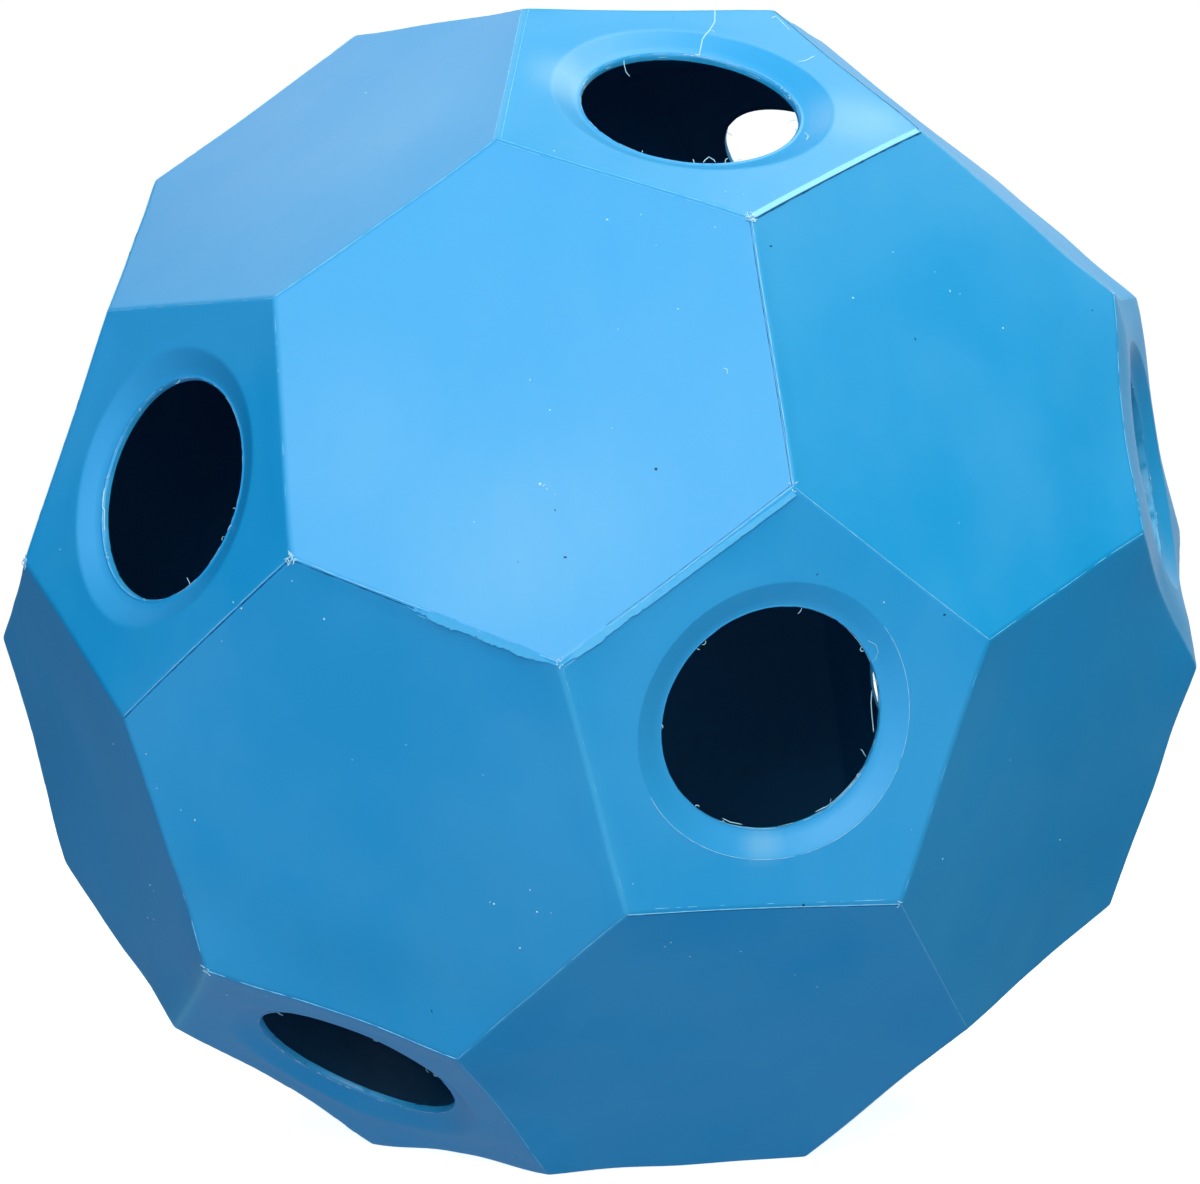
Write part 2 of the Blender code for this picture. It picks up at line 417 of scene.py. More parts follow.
class Outline:
    """Corners, edges and faces of the sharp football shape, and how the ball warped as it cooled."""

    def __init__(self):
        ball = football()
        shape = ball.data
        self.corners = np.array([vert.co for vert in shape.vertices])
        self.normals = np.array([face.normal for face in shape.polygons])
        self.heights = np.array([face.center.dot(face.normal) for face in shape.polygons])
        self.collars = [i for i, face in enumerate(shape.polygons) if len(face.vertices) == COLLAR_SIDES]
        pole = self.normals @ np.array(toward(UPPER_POLE))
        self.upper = set(np.argsort(-pole)[:len(pole) // 2].tolist())
        owners = {}
        for number, face in enumerate(shape.polygons):
            for key in face.edge_keys:
                owners.setdefault(key, []).append(number)
        self.edges = [(key, tuple(pair)) for key, pair in sorted(owners.items())]
        bpy.data.objects.remove(ball, do_unlink=True)
        mouths = self.normals[self.collars] * self.heights[self.collars][:, None]
        self.spots = np.vstack([self.corners, mouths])
        self.photo = Photograph()
        self.pulls = np.linalg.solve(self.nearness(self.spots), self.shifts_seen())

    def shifts_seen(self):
        """How far each corner and mouth lies from its true place, where the photograph shows it."""
        shifts = np.zeros_like(self.spots)
        for pixel in CORNERS_SEEN:
            moves = [self.photo.shift(MIDDLE + Vector(corner), pixel) for corner in self.corners]
            nearest = min(range(len(moves)), key=lambda i: moves[i].length)
            shifts[nearest] = moves[nearest]
        for face, (right, up) in MOUTH_SHIFTS.items():
            mouth = len(self.corners) + self.collars.index(self.number(face))
            shifts[mouth] = (self.photo.right * right + self.photo.up * up) * MM
        return shifts

    def nearness(self, points):
        """How strongly each corner and mouth pulls on each point."""
        gaps = np.linalg.norm(points[:, None] - self.spots[None], axis=2)
        return np.exp(-(gaps / WARP_REACH) ** 2)

    def warped(self, points):
        """Points of the true shape, moved to where they lie on the warped ball. The floor stays level."""
        shifts = self.nearness(points) @ self.pulls
        shifts[:, 2] *= smooth((points[:, 2] + STANDING_HEIGHT / 2) / FLAT_REACH)
        return points + shifts

    def number(self, face):
        """Number of the face that lies nearest to a bearing and rise."""
        return int(np.argmax(self.normals @ np.array(toward(face))))

    def below(self, points):
        """Number of the face that each point lies under, seen from the ball's middle."""
        return np.argmax(points @ self.normals.T / self.heights, axis=1)

    def edge_distances(self, points):
        """Distance of each point to the nearest edge of the face that it lies under."""
        gaps = self.heights - points @ self.normals.T
        gaps[np.arange(len(points)), self.below(points)] = 1.0
        nearest = gaps.argmin(axis=1)
        turn = np.einsum('ij,ij->i', self.normals[self.below(points)], self.normals[nearest])
        return gaps.min(axis=1) / np.sqrt(1 - turn ** 2)

    def on_face(self, number, across, up, rise=0.0):
        """Point on a face, from its middle: across to the right and up the slope as seen from outside."""
        normal = Vector(self.normals[number])
        right = Vector((0, 0, 1)).cross(normal)
        right = right.normalized() if right.length > 0.01 else Vector((1, 0, 0))
        return normal * (self.heights[number] + rise) + right * across + normal.cross(right) * up

    def under_pixel(self, number, pixel, depth=0.0):
        """Point of the true shape, so deep below a face, that shows at a pixel once the ball is warped."""
        normal, way = Vector(self.normals[number]), self.photo.way(pixel)
        shift = Vector()
        for _ in range(WARP_TRIES):
            start = CAMERA_PLACE - MIDDLE - shift
            point = start + way * ((self.heights[number] - depth - normal.dot(start)) / normal.dot(way))
            shift = Vector(self.warped(np.array([point]))[0]) - point
        return point

    def inward(self, key, number):
        """Unit vector in a face, square to one of its edges and away from it."""
        first, last = (Vector(self.corners[i]) for i in key)
        way = Vector(self.normals[number] * self.heights[number]) - first
        along = (last - first).normalized()
        return (way - along * way.dot(along)).normalized()


def smooth(values):
    """Smooth step from 0 to 1, also for arrays."""
    share = np.clip(values, 0, 1)
    return share * share * (3 - 2 * share)


# Each collar's own dish: rim distance, softness of the rim, how far the collar has sunk, width of the lip
# round the mouth, and depth as a share of the usual one
DISHES = {
    TOP_COLLAR: (0.0427, 0.0010, 0.0004, 0.0015, 1.0),
    FRONT_COLLAR: (0.0411, 0.0003, 0.0003, 0.0005, 0.78),
    LEFT_COLLAR: (0.0421, 0.0009, 0.0006, 0.0013, 1.0),
    LOW_LEFT_COLLAR: (0.0424, 0.0016, 0.0010, 0.0012, 1.0),
    RIGHT_COLLAR: (0.0418, 0.0006, -0.0013, 0.0010, 1.0),
}
PLAIN_DISH = (0.0414, 0.0015, 0.0005, 0.0015, 1.0)

# Collars whose cut shows the wall's full thickness
THICK_CUTS = (RIGHT_COLLAR,)

# How far the edges round a collar have drawn in between their corners
BOWS = {LOW_LEFT_COLLAR: 0.0022, RIGHT_COLLAR: 0.0020, LEFT_COLLAR: 0.0004}
PLAIN_BOW = 0.0006
SINK_REACH = 0.012
CORNER_REACH = 0.036
BOW_REACH = 0.022

# Waves in the faces and jags in the cuts: how many to a metre or a mouth's radius, and how high
LONG_WAVES, SHORT_WAVES, WAVE_HEIGHT = 22, 55, 0.00022
JAGS, JAG_HEIGHT = 9, 0.00022

# Painted highlights along the edges' rounding: everywhere a little, and more on some, each with its reach in
# mm and strength
PAINTED_EDGE_HIGHLIGHT, PAINTED_EDGE_HIGHLIGHT_REACH = 0.12, 0.0008
BROAD_EDGE_HIGHLIGHTS = (
    (FRONT_COLLAR, LOWER_LEFT_PANEL, 2.0, 0.30),
    (FAR_LEFT_PANEL, LOW_LEFT_COLLAR, 2.4, 0.55),
    (UPPER_LEFT_PANEL, TOP_COLLAR, 1.8, 0.25),
)

# Painted sheen: patches painted paler to stand for soft reflections and highlights. Face, middle across and
# up it in mm, radius in mm, strength
PAINTED_SHEEN_PATCHES = (
    (FRONT_PANEL, 0, -44, 50, 0.10),
    (FRONT_PANEL, -50, -14, 44, 0.05),
    (UPPER_LEFT_PANEL, 30, 12, 50, 0.06),
    (TOP_COLLAR, 48, -15, 22, 0.22),
    (TOP_COLLAR, -36, 15, 18, 0.24),
    (FRONT_COLLAR, -1, -36.5, 8.5, 0.25),
)


def dish_rings(mouth, rim, softness, lip, depth):
    """Distance from the axis and depth of each ring, from the collar to the outer edge of the cut."""
    foot = mouth + lip
    fall = (depth - lip * 0.2) / (rim - foot)
    rings = [(rim + softness * s, softness * fall * (1 - s) ** 2 / 4) for s in (1.0, 0.5, 0.0, -0.5, -1.0)]
    start = rim - softness
    slope = [start + (foot - start) * s for s in (0.33, 0.67, 1.0)]
    rings += [(radius, (rim - radius) * fall) for radius in slope]
    bead = ((0.8, -0.2), (0.6, -0.3), (0.4, -0.3), (0.2, -0.07), (0.07, 0.13), (0.0, 0.27))
    return rings + [(mouth + lip * out, depth + lip * down) for out, down in bead]


def dish_of(outline, number):
    """The row of sizes of one collar's dish."""
    named = [face for face in DISHES if outline.number(face) == number]
    return DISHES[named[0]] if named else PLAIN_DISH


def even_bearing(corner, normal, point):
    """Bearing round a collar's middle, from a corner, that spaces its edges' points evenly on a circle."""
    across = normal.cross(corner)
    bearing = math.atan2(point.dot(across), point.dot(corner)) % math.tau
    side_angle = math.tau / COLLAR_SIDES
    side, within = divmod(bearing, side_angle)
    share = (math.tan(within - side_angle / 2) / math.tan(side_angle / 2) + 1) / 2
    return side_angle * (side + share)


def spin_mouth(ball, outline, number, sizes, cut):
    """Work one five-sided face into a collar, a dish, a lip and an open mouth."""
    normal = Vector(outline.normals[number])
    corner_way = min(outline.corners, key=lambda co: -normal.dot(Vector(co)))
    corner_way = (Vector(corner_way) - normal * normal.dot(Vector(corner_way))).normalized()
    rim, softness, _, lip, share = dish_of(outline, number)
    count = COLLAR_SIDES * EDGE_PIECES
    pick_faces(ball, lambda face: len(face.verts) == count and face.normal.dot(normal) > 0.99)
    shape = bmesh.from_edit_mesh(ball.data)
    face = next(face for face in shape.faces if face.select)
    plane = face.verts[0].co.dot(normal)
    middle = normal * plane
    now = [vert.co.copy() for vert in face.verts]
    spokes = []
    for point in now:
        angle = even_bearing(corner_way, normal, point)
        spokes.append(corner_way * math.cos(angle) + normal.cross(corner_way) * math.sin(angle))
    rings = dish_rings(sizes.mouth / 2, rim, softness, lip, sizes.dish_depth * share)
    blends = [(share, rings[0][0], 0.0) for share in (0.2, 0.5, 0.8)]
    steps = blends + [(1.0, radius, depth) for radius, depth in rings]
    start = now
    for step, (share, radius, depth) in enumerate(steps):
        bpy.ops.mesh.extrude_region()
        shape = bmesh.from_edit_mesh(ball.data)
        face = next(face for face in shape.faces if face.select)
        ring = list(face.verts)
        first = min(range(count), key=lambda i: (ring[i].co - now[0]).length)
        ring = ring[first:] + ring[:first]
        if (ring[1].co - now[1]).length > (ring[-1].co - now[1]).length:
            ring = ring[:1] + ring[:0:-1]
        last = step == len(steps) - 1
        for i, vert in enumerate(ring):
            jag = noise.noise(spokes[i] * JAGS + normal * 5) * JAG_HEIGHT if last else 0.0
            circle = middle + spokes[i] * (radius + jag) - normal * (depth + jag)
            vert.co = start[i].lerp(circle, share)
            if last:
                vert[shape.verts.layers.float[cut]] = 1.0
        now = [vert.co.copy() for vert in ring]
        bmesh.update_edit_mesh(ball.data)
    bpy.ops.mesh.delete(type='ONLY_FACE')


BORDER_INSET = 0.0003


def outer_skin(outline, sizes):
    """The whole ball's outer skin, with rounded edges and open mouths, about the origin."""
    ball = football()
    ball.data.attributes.new('cut', 'FLOAT', 'POINT')
    edit(ball)
    bpy.ops.mesh.select_all(action='SELECT')
    bpy.ops.mesh.subdivide(number_cuts=EDGE_PIECES - 1)
    bpy.ops.mesh.bevel(
        offset_type='OFFSET', offset=sizes.edge_round, segments=ROUNDING_STEPS, profile=0.5, affect='EDGES')
    pick_faces(ball, lambda face: len(face.verts) >= COLLAR_SIDES * EDGE_PIECES)
    bpy.ops.mesh.inset(thickness=BORDER_INSET, use_individual=True)
    while pick_faces(ball, lambda face: len(face.verts) == PANEL_SIDES * EDGE_PIECES):
        shape = bmesh.from_edit_mesh(ball.data)
        chosen = [face for face in shape.faces if face.select]
        for face in chosen[1:]:
            face.select_set(False)
        bmesh.update_edit_mesh(ball.data)
        bpy.ops.mesh.fill_grid(span=GRID_SPAN)
    for number in outline.collars:
        spin_mouth(ball, outline, number, sizes, 'cut')
    leave_edit()
    return ball


def read_points(piece):
    """A mesh's points as an array."""
    points = np.zeros(len(piece.data.vertices) * 3)
    piece.data.vertices.foreach_get('co', points)
    return points.reshape(-1, 3)


def write_points(piece, points):
    """Put an array of points back in a mesh."""
    piece.data.vertices.foreach_set('co', points.ravel())
    piece.data.update()


def paint(piece, name, values):
    """Write one number for each point of a mesh, which its material reads."""
    layer = piece.data.attributes.get(name) or piece.data.attributes.new(name, 'FLOAT', 'POINT')
    layer.data.foreach_set('value', np.asarray(values, dtype=np.float32))


def settle(ball, outline):
    """Sink the collars, draw their edges in and let the faces wave a little, as cooling plastic does."""
    points = read_points(ball)
    under = outline.below(points)
    normals = outline.normals[under]
    to_edge = outline.edge_distances(points)
    corner_gap = np.min(np.linalg.norm(points[:, None] - outline.corners[None], axis=2), axis=1)
    ways = points / np.linalg.norm(points, axis=1)[:, None]
    moved = points.copy()
    for number in outline.collars:
        bowed = [face for face in BOWS if outline.number(face) == number]
        sink = dish_of(outline, number)[2]
        bow = BOWS[bowed[0]] if bowed else PLAIN_BOW
        here = under == number
        drop = outline.heights[number] - points @ outline.normals[number]
        reach = np.where(here, 1.0, 1 - smooth(drop / BOW_REACH))
        moved -= ways * (bow * reach * smooth(corner_gap / CORNER_REACH))[:, None]
        moved -= normals * (here * sink * smooth(to_edge / SINK_REACH))[:, None]
    spots = (Vector(point) for point in points)
    wave = np.array([noise.noise(spot * LONG_WAVES) + noise.noise(spot * SHORT_WAVES) / 2 for spot in spots])
    moved += ways * (wave * WAVE_HEIGHT)[:, None]
    moved[:, 2] = np.maximum(moved[:, 2], -STANDING_HEIGHT / 2)
    write_points(ball, moved)
    # Painted highlight: paler bands along the edges, broad on some
    painted_edge_highlight = PAINTED_EDGE_HIGHLIGHT * (1 - smooth(to_edge / PAINTED_EDGE_HIGHLIGHT_REACH))
    for first, second, reach, strength in BROAD_EDGE_HIGHLIGHTS:
        pair = outline.number(first), outline.number(second)
        turn = outline.normals[pair[0]] @ outline.normals[pair[1]]
        for here, beyond in (pair, pair[::-1]):
            gap = (outline.heights[beyond] - points @ outline.normals[beyond]) / math.sqrt(1 - turn ** 2)
            painted_edge_highlight = np.where(under == here, np.maximum(painted_edge_highlight, strength * (1 - smooth(gap / reach / MM))), painted_edge_highlight)
    paint(ball, 'painted_edge_highlight', painted_edge_highlight)
    # Painted sheen: pale patches that stand for soft reflections
    painted_sheen = np.zeros(len(points))
    for face, across, up, radius, strength in PAINTED_SHEEN_PATCHES:
        number = outline.number(face)
        gap = np.linalg.norm(points - np.array(outline.on_face(number, across * MM, up * MM)), axis=1)
        painted_sheen = np.where(under == number, np.maximum(painted_sheen, strength * (1 - smooth(gap / radius / MM))), painted_sheen)
    paint(ball, 'painted_sheen', painted_sheen)


# Where the halves closed out of line: the lower half stands out this way, as a share of the seam step
OUT_OF_LINE = Vector((0.45, -0.75, -0.60))
STEP_REACH = 0.004


def step_out(half, outline, sizes):
    """Move the lower half's points beside the seam in or out, so that the halves don't quite meet."""
    points = read_points(half)
    gaps = outline.heights - points @ outline.normals.T
    upper = sorted(outline.upper)
    share = 1 - smooth(gaps[:, upper].min(axis=1) / STEP_REACH)
    ways = points / np.linalg.norm(points, axis=1)[:, None]
    rise = ways @ np.array(OUT_OF_LINE) * sizes.seam_step
    write_points(half, points + ways * (share * rise)[:, None])


# How far from the cut the wall has its full thickness again, and where on a collar, from the mouth's middle,
# its inner skin begins to follow the ball's, and how far on it does
THINNING_REACH = 0.012
INNER_BLEND_START = 0.040
INNER_BLEND_REACH = 0.010


def give_wall(half, outline, sizes):
    """Turn one half's outer skin into a closed wall, with its inner skin, seam faces and cut mouths."""
    share = 1 - sizes.wall * 2 / STANDING_HEIGHT
    thick_cuts = [outline.number(face) for face in THICK_CUTS]
    edit(half)
    bpy.ops.mesh.select_all(action='SELECT')
    bpy.ops.mesh.extrude_region()
    shape = bmesh.from_edit_mesh(half.data)
    cut = shape.verts.layers.float['cut']
    for face in shape.faces:
        face.material_index = int(face.select)
    inner = [vert for vert in shape.verts if vert.select]
    under = outline.below(np.array([vert.co for vert in inner]))
    for vert, number in zip(inner, under):
        outer = vert.co.copy()
        vert.co = outer * share
        if int(number) in outline.collars:
            normal = Vector(outline.normals[number])
            reach = (outer - normal * outer.dot(normal)).length
            thick = float(smooth((reach - sizes.mouth / 2) / THINNING_REACH)) * (1 - vert[cut])
            if number in thick_cuts:
                thick = 1.0
            near = outer - normal * (sizes.mouth_wall + (sizes.wall - sizes.mouth_wall) * thick)
            vert.co = near.lerp(vert.co, float(smooth((reach - INNER_BLEND_START) / INNER_BLEND_REACH)))
    bmesh.update_edit_mesh(half.data)
    bpy.ops.mesh.select_all(action='SELECT')
    bpy.ops.mesh.flip_normals()
    leave_edit()


def half_moulding(name, ball, outline, sizes, is_upper):
    """One half of the ball as a finished closed piece."""
    deselect()
    ball.select_set(True)
    bpy.context.view_layer.objects.active = ball
    bpy.ops.object.duplicate()
    half = bpy.context.object
    half.name = half.data.name = name
    edit(half)
    middles = np.array([face.calc_center_median() for face in bmesh.from_edit_mesh(half.data).faces])
    in_upper = [int(number) in outline.upper for number in outline.below(middles)]
    others = iter([flag != is_upper for flag in in_upper])
    pick_faces(half, lambda face: next(others))
    bpy.ops.mesh.delete(type='FACE')
    leave_edit()
    if not is_upper:
        step_out(half, outline, sizes)
    give_wall(half, outline, sizes)
    points = outline.warped(read_points(half)) + np.array(MIDDLE)
    points[:, 2] = np.maximum(points[:, 2], 0.0)
    write_points(half, points)
    deselect()
    half.select_set(True)
    bpy.context.view_layer.objects.active = half
    bpy.ops.object.shade_smooth_by_angle(angle=MOULDING_SMOOTH)
    return half


class HAYBALL_OT_mouldings(Operator):
    """Model the two half shells of the ball"""
    bl_idname = "hayball.mouldings"
    bl_label = "Half Mouldings"

    def execute(self, context):
        sizes, colours = context.scene.ball_sizes, context.scene.ball_colours
        outline = Outline()
        ball = outer_skin(outline, sizes)
        settle(ball, outline)
        halves = (('upper', True), ('lower', False))
        for side, is_upper in halves:
            half = half_moulding(side + '_half_moulding', ball, outline, sizes, is_upper)
            half.data.materials.append(satin_polyethylene(side + '_satin_polyethylene', colours))
            half.data.materials.append(painted_shade_inner_skin(side + '_inner_skin', colours))
            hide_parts(side + '_half_shell')
            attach(half, 'root')
        bpy.data.objects.remove(ball, do_unlink=True)
        return {'FINISHED'}


class Skin:
    """The outer surface of the mouldings, to lay small pieces on."""

    def __init__(self):
        self.outline = Outline()
        points, faces = [], []
        for side in ('upper', 'lower'):
            half = bpy.data.objects[side + '_half_moulding'].data
            first = len(points)
            points += [vert.co for vert in half.vertices]
            outer = [face for face in half.polygons if face.material_index == 0]
            faces += [[first + i for i in face.vertices] for face in outer]
        self.tree = BVHTree.FromPolygons(points, faces)

    def lay(self, point, lift=0.0):
        """The place on the surface nearest to a point given from the ball's middle, and lifted off it."""
        place, normal = self.tree.find_nearest(self.afloat(point))[:2]
        return place + normal * lift

    def afloat(self, point):
        """The place of a point given from the ball's middle, off the surface too."""
        return MIDDLE + Vector(self.outline.warped(np.array([point]))[0])

    def edge(self, key, beside, aside=0.0, face=None, start=0.0, end=1.0, lift=0.0):
        """Places along an edge, from its end next to one face, moved aside on to another."""
        first, last = (Vector(self.outline.corners[i]) for i in key)
        if beside is not None and last.dot(toward(beside)) > first.dot(toward(beside)):
            first, last = last, first
        shift = self.outline.inward(key, face) * aside if aside else Vector()
        count = max(2, round((end - start) * (last - first).length / THREAD_STEP))
        shares = (start + (end - start) * i / count for i in range(count + 1))
        return [self.lay(first.lerp(last, share) + shift, lift) for share in shares]


def broken(places, radius, coverage, seed):
    """Split a line of places into runs of thread with gaps between them and a thickness that wanders."""
    lines, run = [], []
    for i, place in enumerate(places):
        wander = noise.noise(Vector((i * 0.13, seed, 0.0))) + 0.5 * noise.noise(Vector((i * 0.5, seed, 3.0)))
        if wander > 0.9 - 1.8 * coverage:
            swell = 0.75 + 0.6 * noise.noise(Vector((i * 0.31, seed, 7.0)))
            run.append((place, radius * max(0.3, swell)))
        else:
            lines.append(run)
            run = []
    lines.append(run)
    return [tapered(line) for line in lines if len(line) > 2]


def tapered(line):
    """Thin both ends of a line."""
    return [(line[0][0], THREAD_TIP)] + line[1:-1] + [(line[-1][0], THREAD_TIP)]


def curl(rng, start, way, normal, length, radius):
    """A short thread that stands off its start and curls at random."""
    side = way.cross(normal).normalized()
    turn, place, line = rng.uniform(-0.9, 0.9), start.copy(), []
    steps = 7
    for i in range(steps):
        line.append((place.copy(), radius))
        angle = turn * i
        step = way * math.cos(angle) + side * math.sin(angle)
        place += (step + normal * rng.uniform(-0.1, 0.35)) * (length / steps)
    return tapered(line)


def add_threads(name, lines, finish, slot):
    """One piece of round threads. Each line is a list of places and radii."""
    deselect()
    bpy.ops.curve.primitive_nurbs_path_add()
    thread = bpy.context.object
    curve = thread.data
    curve.splines.clear()
    for line in lines:
        spline = curve.splines.new('POLY')
        spline.points.add(len(line) - 1)
        for knot, (place, radius) in zip(spline.points, line):
            knot.co = (place.x, place.y, max(place.z, radius), 1.0)
            knot.radius = radius
    curve.bevel_depth = 1.0
    curve.bevel_resolution = 1
    curve.use_fill_caps = True
    bpy.ops.object.convert(target='MESH')
    thread = bpy.context.object
    thread.name = thread.data.name = name
    edit(thread)
    bpy.ops.mesh.select_all(action='SELECT')
    bpy.ops.mesh.normals_make_consistent(inside=False)
    leave_edit()
    return finished(thread, finish)


def finished(piece, finish):
    """Give a small piece its material and body."""
    piece.data.materials.clear()
    piece.data.materials.append(finish)
    deselect()
    piece.select_set(True)
    bpy.context.view_layer.objects.active = piece
    bpy.ops.object.shade_smooth_by_angle(angle=SMALL_PIECE_SMOOTH)
    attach(piece, 'root')
    return piece


def add_strip(name, places, across, widths, finish):
    """A thin flat strip along a line of places, as wide at each as the list says."""
    deselect()
    count = len(places)
    bpy.ops.mesh.primitive_grid_add(x_subdivisions=count - 1, y_subdivisions=2, size=1)
    strip = bpy.context.object
    strip.name = strip.data.name = name
    for vert in strip.data.vertices:
        i = round((vert.co.x + 0.5) * (count - 1))
        vert.co = places[i] + across * (vert.co.y * widths[i])
    edit(strip)
    bpy.ops.mesh.select_all(action='SELECT')
    bpy.ops.mesh.normals_make_consistent(inside=False)
    leave_edit()
    outward = sum((face.normal.dot(face.center - MIDDLE) for face in strip.data.polygons))
    wall = strip.modifiers.new('thickness', 'SOLIDIFY')
    wall.thickness = STRIP_THICKNESS
    wall.offset = -1.0 if outward > 0 else 1.0
    bpy.ops.object.modifier_apply(modifier=wall.name)
    edit(strip)
    bpy.ops.mesh.select_all(action='SELECT')
    bpy.ops.mesh.normals_make_consistent(inside=False)
    leave_edit()
    return finished(strip, finish)


def add_lumps(name, spots, flatness, finish):
    """One piece of small lumps. Each spot is a place, an outward way and a radius."""
    deselect()
    bpy.ops.mesh.primitive_ico_sphere_add(subdivisions=1, radius=1.0)
    lump = bpy.context.object
    edit(lump)
    bpy.ops.mesh.select_all(action='SELECT')
    bpy.ops.transform.vertex_random(offset=0.35, seed=4)
    leave_edit()
    copies = []
    for i, (place, way, radius) in enumerate(spots):
        copy = lump.copy()
        copy.data = lump.data.copy()
        turn = way.to_track_quat('Z', 'Y').to_matrix().to_4x4() @ Matrix.Rotation(i * 2.4, 4, 'Z')
        size = Matrix.Diagonal((radius, radius * (0.6 + 0.4 * math.sin(i * 1.7)), radius * flatness, 1.0))
        lifted = Vector((place.x, place.y, max(place.z, radius)))
        copy.data.transform(Matrix.Translation(lifted) @ turn @ size)
        bpy.context.collection.objects.link(copy)
        copies.append(copy)
    bpy.data.objects.remove(lump, do_unlink=True)
    deselect()
    for copy in copies:
        copy.select_set(True)
    bpy.context.view_layer.objects.active = copies[0]
    bpy.ops.object.join()
    piece = bpy.context.object
    piece.name = piece.data.name = name
    return finished(piece, finish)


# Finishes that the thin pieces share: how thin and how pale each one looks
FLASH = {
    'plain_flash': (0.22, 0.0),
    'stretched_flash': (1.0, 0.32),
    'torn_flash': (0.22, 0.02),
    # Painted highlight: the seam lip's pale finish stands for its chamfer catching the light
    'painted_highlight_flash': (1.0, 0.30),
    'chalky_flash': (1.0, 1.0),
}


def flash(context, name):
    """One of the shared finishes of the thin pieces."""
    return bpy.data.materials.get(name) or thin_polyethylene(name, context.scene.ball_colours, *FLASH[name])


def dark_finish(context, name):
    """One of the two dark finishes: grit, or the painted shadow along the seam's step."""
    colours = context.scene.ball_colours
    pair = (colours.shadow, colours.shadow) if name == 'painted_seam_shadow' else (colours.grit, colours.inside)
    return bpy.data.materials.get(name) or dark_polyethylene(name, *pair)


THREAD_STEP = 0.0008
THREAD_TIP = 0.00002
STRIP_THICKNESS = 0.0004

# Threads left along the edges: the two faces, and the face beside which the edge starts. Then, for each
# thread, its radius in mm, how much of it is there, how far it lies on the first face in mm, or on the
# second when negative, and where it starts and ends.
EDGE_THREADS = (
    (TOP_COLLAR, RIGHT_PANEL, FRONT_PANEL, ((0.10, 1.0, 1.1, 0.01, 0.99),)),
    (FRONT_PANEL, RIGHT_PANEL, TOP_COLLAR, ((0.22, 1.0, -0.1, 0.0, 1.0),)),
    (FRONT_PANEL, FRONT_COLLAR, RIGHT_PANEL, ((0.15, 1.0, 0.3, 0.0, 1.0), (0.10, 0.8, -1.8, 0.4, 1.0))),
    (FRONT_PANEL, LOWER_LEFT_PANEL, LEFT_COLLAR, ((0.20, 1.0, 0.2, 0.0, 1.0), (0.10, 0.5, -1.9, 0.44, 1.0))),
    (LEFT_COLLAR, LOWER_LEFT_PANEL, FRONT_PANEL, ((0.19, 1.0, 0.5, 0.0, 1.0),)),
    (FAR_LEFT_PANEL, LOWER_LEFT_PANEL, LEFT_COLLAR, (
        (0.08, 0.5, 0.2, 0.0, 0.8), (0.16, 0.6, 0.2, 0.75, 1.0))),
    (FAR_LEFT_PANEL, LOW_LEFT_COLLAR, LOWER_LEFT_PANEL, ((0.08, 0.5, 0.0, 0.0, 0.3),)),
    (TOP_COLLAR, BACK_RIGHT_PANEL, RIGHT_PANEL, ((0.15, 0.9, 1.0, 0.0, 1.0),)),
    (TOP_COLLAR, UPPER_LEFT_PANEL, FRONT_PANEL, ((0.16, 0.9, 1.2, 0.0, 1.0), (0.12, 0.8, -1.2, 0.0, 1.0))),
    (TOP_COLLAR, FRONT_PANEL, RIGHT_PANEL, ((0.18, 1.0, 0.0, 0.0, 1.0), (0.09, 0.8, -1.1, 0.0, 1.0))),
    (UPPER_LEFT_PANEL, FRONT_PANEL, TOP_COLLAR, ((0.20, 1.0, 0.0, 0.0, 1.0),)),
    (RIGHT_PANEL, FRONT_COLLAR, FRONT_PANEL, ((0.17, 1.0, 0.0, 0.0, 1.0),)),
    (LOWER_LEFT_PANEL, UNDER_PANEL, FRONT_COLLAR, ((0.10, 0.8, 0.0, 0.0, 1.0),)),
    (FRONT_COLLAR, UNDER_PANEL, LOWER_LEFT_PANEL, ((0.17, 1.0, -0.2, 0.0, 1.0), (0.11, 0.5, 1.4, 0.1, 1.0))),
    (LOWER_LEFT_PANEL, LOW_LEFT_COLLAR, FAR_LEFT_PANEL, (
        (0.16, 0.6, 0.1, 0.0, 1.0), (0.10, 0.8, 0.0, 0.2, 1.0))),
    (LEFT_COLLAR, FRONT_PANEL, LOWER_LEFT_PANEL, ((0.08, 0.35, 0.3, 0.0, 1.0),)),
    (LEFT_COLLAR, UPPER_LEFT_PANEL, FRONT_PANEL, ((0.10, 0.6, 0.4, 0.0, 1.0),)),
    (FRONT_COLLAR, LOWER_LEFT_PANEL, FRONT_PANEL, ((0.08, 0.4, 0.6, 0.0, 1.0),)),
    (FRONT_COLLAR, LOWER_RIGHT_PANEL, RIGHT_PANEL, ((0.07, 0.4, 0.1, 0.0, 1.0),)),
    (RIGHT_PANEL, RIGHT_COLLAR, TOP_COLLAR, ((0.10, 0.6, 0.2, 0.0, 1.0),)),
    (LEFT_COLLAR, FAR_LEFT_PANEL, UPPER_LEFT_PANEL, ((0.08, 0.25, 0.3, 0.0, 1.0),)),
)
PLAIN_THREADS = ((0.11, 0.75, 0.0, 0.0, 1.0),)

